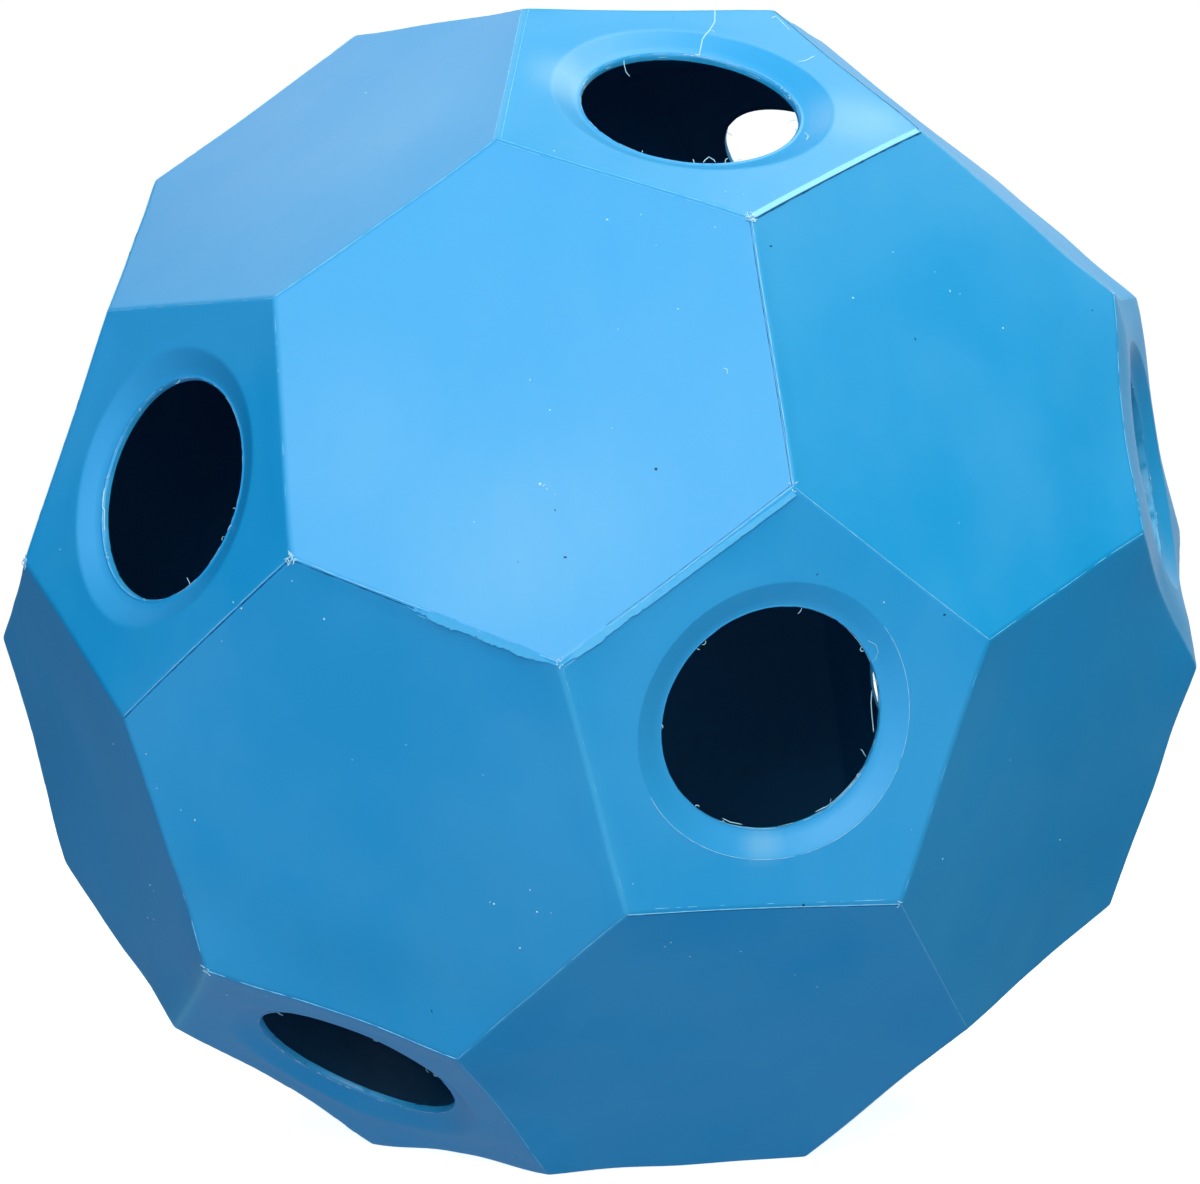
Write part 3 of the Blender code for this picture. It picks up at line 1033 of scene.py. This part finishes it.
# Dark threads of painted shadow beside some of them, where the halves step apart, in the same way
PAINTED_SEAM_SHADOWS = (
    (TOP_COLLAR, BACK_RIGHT_PANEL, RIGHT_PANEL, ((0.14, 0.9, 0.4, 0.0, 1.0),)),
    (FRONT_PANEL, RIGHT_PANEL, TOP_COLLAR, ((0.12, 1.0, 0.5, 0.0, 1.0),)),
    (FRONT_PANEL, LOWER_LEFT_PANEL, LEFT_COLLAR, ((0.20, 1.0, -0.5, 0.0, 0.47),)),
    (LEFT_COLLAR, LOWER_LEFT_PANEL, FRONT_PANEL, ((0.17, 1.0, -0.2, 0.0, 1.0),)),
    (TOP_COLLAR, RIGHT_PANEL, FRONT_PANEL, ((0.28, 1.0, -1.1, 0.01, 1.0),)),
    (FRONT_PANEL, FRONT_COLLAR, RIGHT_PANEL, ((0.09, 0.9, 0.8, 0.0, 0.8),)),
    (FRONT_COLLAR, UNDER_PANEL, LOWER_LEFT_PANEL, ((0.09, 0.7, -0.7, 0.0, 1.0),)),
)


class HAYBALL_OT_edge_threads(Operator):
    """Lay the thin threads of flash that the mould left along the edges, and the dark threads of painted
    shadow along the seam's step
    """
    bl_idname = "hayball.edge_threads"
    bl_label = "Edge Threads"

    def execute(self, context):
        skin = Skin()
        for table, plain, kind, finish in (
                (EDGE_THREADS, PLAIN_THREADS, '_edge_threads', flash(context, 'stretched_flash')),
                (PAINTED_SEAM_SHADOWS, (), '_painted_shadows', dark_finish(context, 'painted_seam_shadow'))):
            for group, threads in edge_lines(skin, table, plain).items():
                if threads:
                    side = 'lower' if group == 'lower' else 'upper'
                    add_threads(group + kind, threads, finish, side + '_polyethylene')
        return {'FINISHED'}


def edge_lines(skin, table, plain):
    """Lines of thread for every edge, from its row of a table or else the plain ones, grouped by half."""
    outline = skin.outline
    named = {frozenset(map(outline.number, row[:2])): row for row in table}
    lines = {'seam': [], 'upper': [], 'lower': []}
    for seed, (key, pair) in enumerate(outline.edges):
        if max(outline.corners[i][2] for i in key) < MM - STANDING_HEIGHT / 2:
            continue
        group = ('lower', 'seam', 'upper')[len(outline.upper.intersection(pair))]
        row = named.get(frozenset(pair))
        first, beside, threads = (outline.number(row[0]), row[2], row[3]) if row else (pair[0], None, plain)
        second = pair[0] if first == pair[1] else pair[1]
        for i, (radius, coverage, aside, start, end) in enumerate(threads):
            face = first if aside >= 0 else second
            places = skin.edge(key, beside, abs(aside) * MM, face, start, end, radius * MM * 0.3)
            lines[group] += broken(places, radius * MM, coverage, seed * 3.7 + i)
    return lines


# Strips of flash: name, the two faces, the face beside which it starts, how far its middle lies on the first
# face in mm, or on the second when negative, width in mm, how ragged, where it starts and ends, and finish
SEAM_STRIPS = (
    # The lip's pale finish is painted highlight for its chamfer catching the light
    ('seam_lip', TOP_COLLAR, RIGHT_PANEL, FRONT_PANEL, 0.1, 1.6, 0.04, 0.015, 0.985, 'painted_highlight_flash'),
    ('seam_chamfer', FRONT_COLLAR, FRONT_PANEL, RIGHT_PANEL, 1.0, 2.6, 0.10, 0.01, 0.66, 'plain_flash'),
    ('seam_chamfer_end', FRONT_COLLAR, FRONT_PANEL, RIGHT_PANEL, 0.8, 2.3, 0.4, 0.56, 1.0, 'torn_flash'),
    ('torn_seam', FRONT_PANEL, LOWER_LEFT_PANEL, LEFT_COLLAR, -0.6, 2.5, 0.5, 0.44, 1.0, 'torn_flash'),
)

# How ragged a strip is whose ends narrow, its least width as a share, and how far strips stand off the skin
RAGGED_ENDS = 0.3
LEAST_WIDTH = 0.15
STRIP_LIFT, RAGGED_LIFT = 0.00012, 0.00018


class HAYBALL_OT_seam_strips(Operator):
    """Lay the flat strips of flash along the seam's front"""
    bl_idname = "hayball.seam_strips"
    bl_label = "Seam Strips"

    def execute(self, context):
        skin = Skin()
        outline = skin.outline
        for seed, row in enumerate(SEAM_STRIPS):
            name, first, second, beside, middle, width, ragged, start, end, finish = row
            pair = {outline.number(first), outline.number(second)}
            key = next(key for key, faces in outline.edges if set(faces) == pair)
            face = outline.number(first if middle >= 0 else second)
            places = skin.edge(key, beside, abs(middle) * MM, face, start, end)
            across = outline.inward(key, outline.number(first)) - outline.inward(key, outline.number(second))
            across.normalize()
            out = (places[0] - MIDDLE).normalized()
            widths = []
            for i, place in enumerate(places):
                wave = noise.noise(Vector((i * 0.23, seed * 5.1, 1.0)))
                wave += noise.noise(Vector((i * 0.9, seed, 4.0)))
                to_end = min(i, len(places) - 1 - i) / (len(places) - 1)
                full = 1.0 if ragged < RAGGED_ENDS else float(smooth(0.1 + to_end * 3.2))
                widths.append(width * MM * max(LEAST_WIDTH, full + ragged * wave))
                places[i] = place + out * (STRIP_LIFT + RAGGED_LIFT * ragged * abs(wave))
            add_strip(name, places, across, widths, flash(context, finish))
        return {'FINISHED'}


# Threads on the collars and panels, face by face: each one's radius and depth in mm, then its path in the
# photograph's pixels
SCARS = {
    TOP_COLLAR: (
        (0.22, 0, ((715, 9), (715, 20), (710, 28), (703, 35), (701, 44), (696, 50))),
        (0.12, 0, ((710, 28), (714, 28.5), (716, 31))),
        (0.18, 0, ((771, 18), (776, 16), (791, 31))),
        (0.18, 0, ((798, 59), (806, 58), (817, 53))),
        (0.15, 3, ((803, 128), (808, 135), (806, 142))),
    ),
    FRONT_COLLAR: (
        (0.06, 1, ((868, 645), (876, 648), (878, 655), (874, 668))),
    ),
    LEFT_COLLAR: (
        (0.16, 3, ((103, 487), (102, 505), (104, 530))),
    ),
    FRONT_PANEL: (
        (0.14, 0, ((723, 368), (727, 369), (727.5, 373), (725, 374.5))),
        (0.12, 0, ((546, 484), (543, 486), (540, 484.5))),
    ),
}

# Whiskers at the mouths, which hang free from the cut edge, in the same way
WHISKERS = {
    TOP_COLLAR: (
        (0.12, 4, ((624, 60), (624, 64), (626, 72), (631, 78))),
        (0.13, 4, ((703, 163), (705, 160), (709, 157), (714, 160), (716, 164))),
        (0.12, 4, ((798, 120), (795, 120), (790, 121), (788, 124))),
    ),
    FRONT_COLLAR: (
        (0.13, 4, ((872, 690), (871, 703), (872, 716), (874, 735))),
        (0.10, 4, ((866, 757), (862, 750), (858, 748))),
        (0.12, 4, ((815, 812), (823, 808), (830, 805))),
        (0.13, 4, ((722, 818), (730, 822), (745, 825))),
        (0.14, 4, ((661, 723), (663, 727), (661, 731))),
    ),
    LEFT_COLLAR: (
        (0.14, 4, ((232, 525), (230, 526), (226, 533))),
    ),
}

# Threads round every mouth's cut: whether at its back, radius in mm, how much of it is there, and its seed
CUT_THREADS = ((False, 0.07, 0.55, 0), (False, 0.16, 0.26, 40), (True, 0.08, 0.35, 80))

# How much deeper than a dish the cut's front and back lie, how far its threads stand off it, and its curls
CUT_FRONT, CUT_BACK = 0.0005, 0.0004
CUT_LIFT = 0.00004
CUT_CURLS = 9
CURL_LENGTHS = (0.0010, 0.0035)
CURL_RADII = (0.00007, 0.00014)

# Pale threads of painted highlight on the lit side of dishes' rims: radius from the mouth's middle and of the
# line in mm, and its bearings
RIM_HIGHLIGHTS = {FRONT_COLLAR: (41.1, 0.08, -150, 40)}
RIM_HIGHLIGHT_COVERAGE, RIM_HIGHLIGHT_SEED = 0.85, 2.2


def path_on(skin, face, depth, path, free):
    """Places along a path of pixels on one face, close together. A free path keeps its depth in the mouth."""
    number = skin.outline.number(face)
    knots = [skin.outline.under_pixel(number, pixel, depth * MM) for pixel in path]
    places = []
    for knot, next_knot in zip(knots, knots[1:]):
        count = max(2, round((next_knot - knot).length / THREAD_STEP))
        spots = [knot.lerp(next_knot, i / count) for i in range(count)]
        places += [skin.afloat(spot) if free else skin.lay(spot) for spot in spots]
    return places


def mouth_circle(skin, number, radius, depth, start=0.0, end=math.tau):
    """Places round a mouth, laid on the skin."""
    count = round((end - start) * radius / THREAD_STEP)
    bearings = (start + (end - start) * i / count for i in range(count + 1))
    spots = [
        skin.outline.on_face(number, radius * math.cos(bearing), radius * math.sin(bearing), -depth)
        for bearing in bearings]
    return [skin.lay(spot, CUT_LIFT) for spot in spots]


class HAYBALL_OT_mouth_burrs(Operator):
    """Lay the ragged threads and whiskers that the knife left round the mouths, and the pale threads of
    painted highlight on a dish's rim
    """
    bl_idname = "hayball.mouth_burrs"
    bl_label = "Mouth Burrs"

    def execute(self, context):
        skin, sizes = Skin(), context.scene.ball_sizes
        outline, rng = skin.outline, random.Random(31)
        lines = {'upper': [], 'lower': []}
        for number in outline.collars:
            side = 'upper' if number in outline.upper else 'lower'
            normal = Vector(outline.normals[number])
            edge = mouth_circle(skin, number, sizes.mouth / 2, sizes.dish_depth + CUT_FRONT)
            back_depth = sizes.dish_depth + CUT_BACK + sizes.mouth_wall
            back = mouth_circle(skin, number, sizes.mouth / 2, back_depth)
            for at_back, radius, coverage, seed in CUT_THREADS:
                lines[side] += broken(back if at_back else edge, radius * MM, coverage, number * 5.3 + seed)
            for _ in range(CUT_CURLS):
                start = rng.choice(edge)
                inward = skin.afloat(normal * outline.heights[number]) - start
                inward = (inward - normal * inward.dot(normal)).normalized()
                length, radius = rng.uniform(*CURL_LENGTHS), rng.uniform(*CURL_RADII)
                lines[side].append(curl(rng, start, inward, normal, length, radius))
        for table, free in ((WHISKERS, True), (SCARS, False)):
            for face, paths in table.items():
                side = 'upper' if outline.number(face) in outline.upper else 'lower'
                for radius, depth, path in paths:
                    places = path_on(skin, face, depth, path, free)
                    lines[side].append(tapered([(place, radius * MM) for place in places]))
        # Painted highlight: pale threads along the lit side of the rim
        for face, (reach, radius, start, end) in RIM_HIGHLIGHTS.items():
            side = 'upper' if outline.number(face) in outline.upper else 'lower'
            start, end = math.radians(start), math.radians(end)
            rim = mouth_circle(skin, outline.number(face), reach * MM, 0.0, start, end)
            lines[side] += broken(rim, radius * MM, RIM_HIGHLIGHT_COVERAGE, RIM_HIGHLIGHT_SEED)
        finish = flash(context, 'chalky_flash')
        for side, threads in lines.items():
            add_threads(side + '_mouth_burrs', threads, finish, side + '_polyethylene')
        return {'FINISHED'}


# Corners with a tuft of torn flash, each by the three faces that meet there, with its number of curls and
# their reach in mm
TUFTS = (
    ((TOP_COLLAR, FRONT_PANEL, RIGHT_PANEL), 22, 2.6),
    ((LEFT_COLLAR, FRONT_PANEL, LOWER_LEFT_PANEL), 22, 2.6),
    ((FRONT_PANEL, FRONT_COLLAR, RIGHT_PANEL), 7, 1.6),
    ((FRONT_PANEL, FRONT_COLLAR, LOWER_LEFT_PANEL), 8, 1.8),
    ((LEFT_COLLAR, FAR_LEFT_PANEL, BACK_LEFT_PANEL), 22, 3.0),
    ((LOW_LEFT_COLLAR, FAR_LEFT_PANEL, LOWER_LEFT_PANEL), 9, 2.0),
    ((FRONT_COLLAR, LOWER_RIGHT_PANEL, UNDER_PANEL), 6, 1.6),
    ((RIGHT_PANEL, BACK_RIGHT_PANEL, RIGHT_COLLAR), 5, 1.5),
)
TUFT_WIDTH = 0.0012
TUFT_RADIUS = 0.00013

# Pale crumbs and dark pinholes on the faces in view, in the photograph's pixels
PALE_CRUMBS = {
    FRONT_PANEL: (
        (543, 486), (540, 484), (547, 489), (656, 245), (715, 227), (607, 219), (641, 214), (618, 329),
        (678, 309), (474, 522), (555, 494), (530, 380), (550, 410), (612, 428),
    ),
    RIGHT_PANEL: ((935, 272), (893, 252), (950, 291), (960, 294), (853, 298), (1003, 328), (959, 523)),
    LOWER_LEFT_PANEL: (
        (490, 902), (494, 904), (537, 912), (483, 775), (530, 890), (520, 948), (551, 913), (292, 581),
        (324, 619), (146, 754), (157, 788), (181, 810), (195, 820), (352, 760), (406, 745),
    ),
    UNDER_PANEL: ((741, 952), (671, 943), (795, 975), (665, 947), (690, 957), (817, 987)),
    LOWER_RIGHT_PANEL: ((943, 859), (1010, 760), (1060, 840)),
    FAR_LEFT_PANEL: ((150, 885), (153, 891), (155, 898), (151, 913), (147, 918), (153, 920), (113, 744)),
    FRONT_COLLAR: ((885, 603), (912, 830), (633, 884)),
    LEFT_COLLAR: ((58, 549), (232, 602), (240, 609), (217, 646), (217, 391)),
}
DARK_PINHOLES = {
    FRONT_PANEL: ((565, 557), (656, 469), (555, 510), (518, 562)),
    RIGHT_PANEL: ((771, 246), (1093, 310), (915, 339)),
    FRONT_COLLAR: ((818, 575), (945, 615), (804, 906)),
    LOWER_LEFT_PANEL: ((431, 1012),),
    LOW_LEFT_COLLAR: ((308, 1085),),
}

# Their usual radii in mm, their height as a share of that, and how high above the floor they begin
CRUMB_RADIUS, PINHOLE_RADIUS = 0.40, 0.55
LUMP_FLATNESS = 0.4
FLOOR_CLEARANCE = 0.002

# Every other face has so many, of radii between these in mm, within the larger distance of its middle, and on
# a collar beyond the smaller
SCATTERED_CRUMBS = 7
SCATTERED_RADII = (0.15, 0.40)
SCATTER_REACH = (0.046, 0.058)


class HAYBALL_OT_crumbs(Operator):
    """Scatter the crumbs, the tufts of torn flash and the dark pinholes"""
    bl_idname = "hayball.crumbs"
    bl_label = "Crumbs and Pinholes"

    def execute(self, context):
        skin = Skin()
        outline, rng = skin.outline, random.Random(12)
        tufts = {'upper': [], 'lower': []}
        for faces, count, reach in TUFTS:
            numbers = [outline.number(face) for face in faces]
            meeting = sum((Vector(outline.normals[number]) for number in numbers), Vector())
            corner = max((Vector(co) for co in outline.corners), key=lambda co: co.dot(meeting))
            out = corner.normalized()
            side = 'upper' if numbers[0] in outline.upper else 'lower'
            for _ in range(count):
                way = Vector([rng.uniform(-1, 1) for _ in range(3)])
                way = (way - out * way.dot(out)).normalized()
                start = skin.lay(corner + way * rng.uniform(0.0, TUFT_WIDTH))
                length = rng.uniform(0.4, 1.0) * reach * MM
                tufts[side].append(curl(rng, start, way, out, length, TUFT_RADIUS))
        for side, lines in tufts.items():
            add_threads(side + '_tufts', lines, flash(context, 'chalky_flash'), side + '_polyethylene')
        spots = {'upper_crumbs': [], 'lower_crumbs': [], 'upper_pinholes': [], 'lower_pinholes': []}
        shown = {outline.number(face) for face in PALE_CRUMBS}
        tables = [(PALE_CRUMBS, 'crumbs', CRUMB_RADIUS), (DARK_PINHOLES, 'pinholes', PINHOLE_RADIUS)]
        for table, kind, radius in tables:
            for face, pixels in table.items():
                number = outline.number(face)
                for pixel in pixels:
                    size = rng.uniform(0.6, 1.2) * radius * MM
                    add_spot(skin, spots, kind, number, outline.under_pixel(number, pixel), size)
        for number in range(len(outline.heights)):
            if number in shown:
                continue
            low = SCATTER_REACH[0] if number in outline.collars else 0.0
            for i in range(SCATTERED_CRUMBS):
                angle, reach = rng.uniform(0, math.tau), rng.uniform(low, SCATTER_REACH[1])
                kind = 'pinholes' if i == 0 else 'crumbs'
                point = outline.on_face(number, reach * math.cos(angle), reach * math.sin(angle))
                add_spot(skin, spots, kind, number, point, rng.uniform(*SCATTERED_RADII) * MM)
        for name, places in spots.items():
            dark = name.endswith('pinholes')
            finish = dark_finish(context, 'dark_grit') if dark else flash(context, 'chalky_flash')
            add_lumps(name, places, LUMP_FLATNESS, finish)
        return {'FINISHED'}


def add_spot(skin, spots, kind, number, point, radius):
    """Add one spot on a face to its half's list, unless it is down at the floor."""
    side = 'upper_' if number in skin.outline.upper else 'lower_'
    place = skin.lay(point)
    if place.z > FLOOR_CLEARANCE:
        spots[side + kind].append((place, Vector(skin.outline.normals[number]), radius))


class HAYBALL_OT_studio(Operator):
    """Build the pale floor, the soft lights and the camera"""
    bl_idname = "hayball.studio"
    bl_label = "Studio"

    def execute(self, context):
        look = context.scene.studio_look
        add_floor(look)
        add_softboxes(look)
        add_room(context, look)
        add_camera(context)
        return {'FINISHED'}


FLOOR_RADII = (1.5, 4.0, 12.0)
FLOOR_GAP = 0.0002

# Softboxes: bearing and rise, distance, width, share of the power, and share of the tint
SOFTBOXES = {
    'front_softbox': ((-75, 20), 1.9, 1.3, 0.378, 1.0),
    'spot_softbox': ((-48, 36), 1.9, 0.5, 0.202, 1.0),
    'left_softbox': ((-110, 40), 1.9, 1.3, 0.134, 0.0),
    'low_left_softbox': ((-100, 5), 1.9, 1.3, 0.084, 0.0),
    'top_right_softbox': ((20, 60), 1.1, 0.8, 0.160, 1.0),
    'top_left_softbox': ((150, 56), 1.1, 0.8, 0.056, 0.0),
}

ROOM_COLOUR = (0.94, 0.97, 1.0, 1.0)

# Parts of the room: the rays that meet it, its direction, where it starts and is full, and its brightness
ROOM_GLOWS = (
    ('Is Diffuse Ray', (0.0, 0.0, -1.0), 0.0, 0.6, 0.55),
    ('Is Glossy Ray', (0.0, 0.98, 0.2), 0.45, 0.85, 0.18),
    ('Is Glossy Ray', (0.0, 0.97, 0.25), 0.80, 0.95, 0.6),
    ('Is Glossy Ray', (-0.52, 0.57, -0.64), 0.84, 0.98, 0.22),
    ('Is Glossy Ray', (0.10, -0.85, 0.52), 0.0, 1.0, 2.0),
)


def add_floor(look):
    """A wide round floor. The room below lights the ball in its place, dimmer than the paper looks."""
    deselect()
    bpy.ops.mesh.primitive_circle_add(vertices=96, radius=FLOOR_RADII[0], fill_type='NGON')
    floor = bpy.context.object
    floor.name = floor.data.name = 'floor'
    edit(floor)
    bpy.ops.mesh.select_all(action='SELECT')
    bpy.ops.mesh.select_mode(type='EDGE')
    bpy.ops.mesh.region_to_loop()
    for last, radius in zip(FLOOR_RADII, FLOOR_RADII[1:]):
        bpy.ops.mesh.extrude_edges_move()
        bpy.ops.transform.resize(value=(radius / last, radius / last, 1), center_override=(0, 0, 0))
    leave_edit()
    floor.data.transform(Matrix.Translation((0, 0, -FLOOR_GAP)))
    floor.data.materials.append(studio_paper('studio_paper', look))
    floor.visible_diffuse = floor.visible_glossy = False


def add_softboxes(look):
    """Square lights that face the ball."""
    for name, (way, distance, width, share, warmth) in SOFTBOXES.items():
        deselect()
        bpy.ops.object.light_add(type='AREA', location=MIDDLE + toward(way) * distance)
        light = bpy.context.object
        light.name = name
        light.data.shape = 'SQUARE'
        light.data.size = width
        light.data.energy = look.power * share
        light.data.color = [1 + (colour - 1) * warmth for colour in look.tint]
        light.rotation_euler = toward(way).to_track_quat('Z', 'Y').to_euler()


def add_room(context, look):
    """A white room: bright low behind and in front in the gloss, and below in the soft light."""
    world = bpy.data.worlds.new('white_room')
    world.use_nodes = True
    nodes = Nodes(world.node_tree)
    strength = nodes.add('LightPath', {}, output='Is Camera Ray') * look.room_seen
    for ray, way, start, full, brightness in ROOM_GLOWS:
        spot = nodes.add('TexCoord', {}, output='Generated')
        toward_glow = nodes.add('VectorMath', {0: spot, 1: way}, output='Value', operation='DOT_PRODUCT')
        glow = nodes.ramp(toward_glow, start, full, 0.0, brightness)
        strength = strength + glow * nodes.add('LightPath', {}, output=ray)
    background = nodes.tree.nodes['Background']
    background.inputs['Color'].default_value = ROOM_COLOUR
    nodes.put(strength, background.inputs['Strength'])
    context.scene.world = world


def add_camera(context):
    """A long lens just above the ball's middle, at the photograph's angle."""
    deselect()
    bpy.ops.object.camera_add(location=CAMERA_PLACE)
    camera = bpy.context.object
    camera.rotation_euler = camera_turn().to_euler()
    camera.data.lens = CAMERA_LENS
    camera.data.sensor_width = CAMERA_SENSOR
    camera.data.clip_start = 0.01
    context.scene.camera = camera
    context.scene.view_settings.view_transform = 'Standard'


class HAYBALL_PT_panel(Panel):
    """Lists the steps that build the ball"""
    bl_idname = "HAYBALL_PT_panel"
    bl_label = "Hay Ball"
    bl_space_type = 'VIEW_3D'
    bl_region_type = 'UI'
    bl_category = "Hay Ball"

    def draw(self, context):
        for operator in OPERATORS:
            self.layout.operator(operator.bl_idname)


OPERATORS = (
    HAYBALL_OT_mouldings, HAYBALL_OT_edge_threads, HAYBALL_OT_seam_strips, HAYBALL_OT_mouth_burrs,
    HAYBALL_OT_crumbs, HAYBALL_OT_studio)
CLASSES = (BallSizes, BallColours, StudioLook) + OPERATORS + (HAYBALL_PT_panel,)


def register():
    for cls in CLASSES:
        bpy.utils.register_class(cls)
    bpy.types.Scene.ball_sizes = PointerProperty(type=BallSizes)
    bpy.types.Scene.ball_colours = PointerProperty(type=BallColours)
    bpy.types.Scene.studio_look = PointerProperty(type=StudioLook)


def unregister():
    del bpy.types.Scene.studio_look
    del bpy.types.Scene.ball_colours
    del bpy.types.Scene.ball_sizes
    for cls in reversed(CLASSES):
        bpy.utils.unregister_class(cls)


def main():
    register()
    bpy.ops.hayball.mouldings()
    bpy.ops.hayball.edge_threads()
    bpy.ops.hayball.seam_strips()
    bpy.ops.hayball.mouth_burrs()
    bpy.ops.hayball.crumbs()
    bpy.ops.hayball.studio()


if __name__ == "__main__":
    main()
